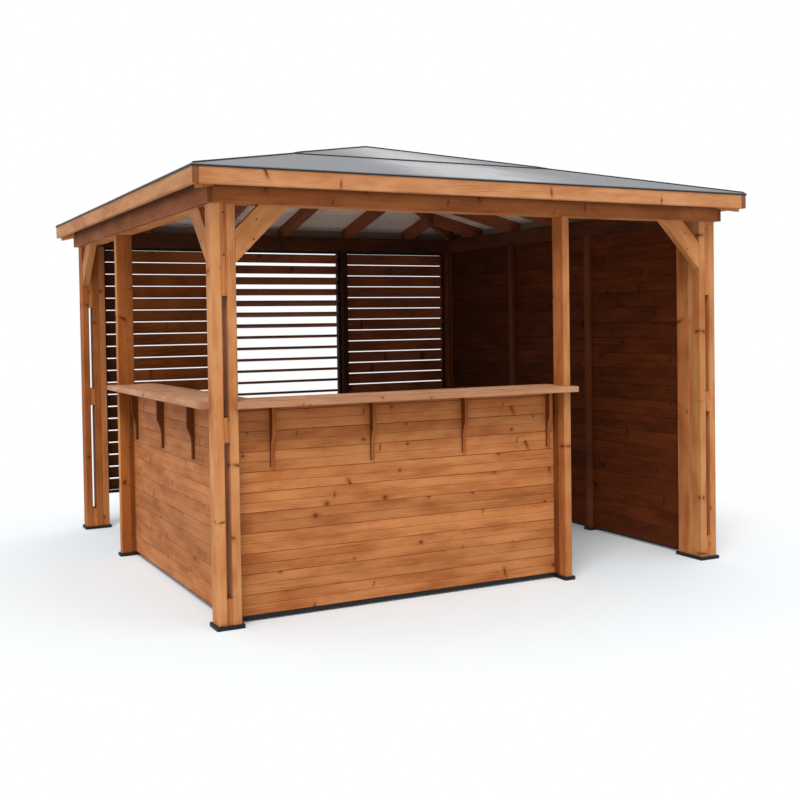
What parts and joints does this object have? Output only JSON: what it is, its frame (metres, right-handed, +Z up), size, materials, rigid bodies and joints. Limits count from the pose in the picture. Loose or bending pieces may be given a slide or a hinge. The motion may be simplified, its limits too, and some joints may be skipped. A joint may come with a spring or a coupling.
{
  "type": "pool house",
  "caption": "Open square timber pool house with a corner bar, split corner posts, louvred back, boarded side and low grey hipped roof",
  "frame": {"origin": "on the ground at the middle of the square plan", "axes": "+X to the right along the front with the bar and doorway, +Y to the louvred back wall, +Z up"},
  "size_m": [3.472, 3.472, 2.6792],
  "materials": {
    "stained_timber": "satin stained softwood",
    "counter_timber": "satin stained softwood, paler",
    "dark_timber": "dark stained softwood",
    "roof_board": "bare sheathing boards",
    "roof_rubber": "matte rubber sheet",
    "black_steel": "black coated steel",
    "black_plastic": "matte black recycled plastic"
  },
  "bodies": {
    "root": {"front_left_post": "stained_timber", "front_right_post": "stained_timber", "back_left_post": "stained_timber", "back_right_post": "stained_timber", "post_spacers": "stained_timber", "foot_plates": "black_plastic", "front_bar_post": "stained_timber", "left_bar_post": "stained_timber", "wall_posts": "dark_timber", "door_jambs": "stained_timber", "front_header": "stained_timber", "back_header": "stained_timber", "left_header": "stained_timber", "right_header": "stained_timber", "front_beam": "dark_timber", "back_beam": "dark_timber", "left_beam": "dark_timber", "right_beam": "dark_timber", "knee_braces": "stained_timber", "front_bar_panel": "stained_timber", "left_bar_panel": "stained_timber", "bar_battens": "stained_timber", "base_strips": "black_plastic", "front_counter": "counter_timber", "left_counter": "counter_timber", "counter_brackets": "stained_timber", "louvre_frames": "dark_timber", "left_louvre_blades": "dark_timber", "middle_louvre_blades": "dark_timber", "right_louvre_blades": "dark_timber", "right_wall_panels": "dark_timber", "hip_rafters": "dark_timber", "front_rafters": "dark_timber", "back_rafters": "dark_timber", "left_rafters": "dark_timber", "right_rafters": "dark_timber", "ridge_hub": "dark_timber", "front_roof_deck": "roof_board", "back_roof_deck": "roof_board", "left_roof_deck": "roof_board", "right_roof_deck": "roof_board", "roof_covering": "roof_rubber", "roof_edge_trim": "black_steel", "front_fascia": "stained_timber", "back_fascia": "stained_timber", "left_fascia": "stained_timber", "right_fascia": "stained_timber"}
  },
  "joints": []
}
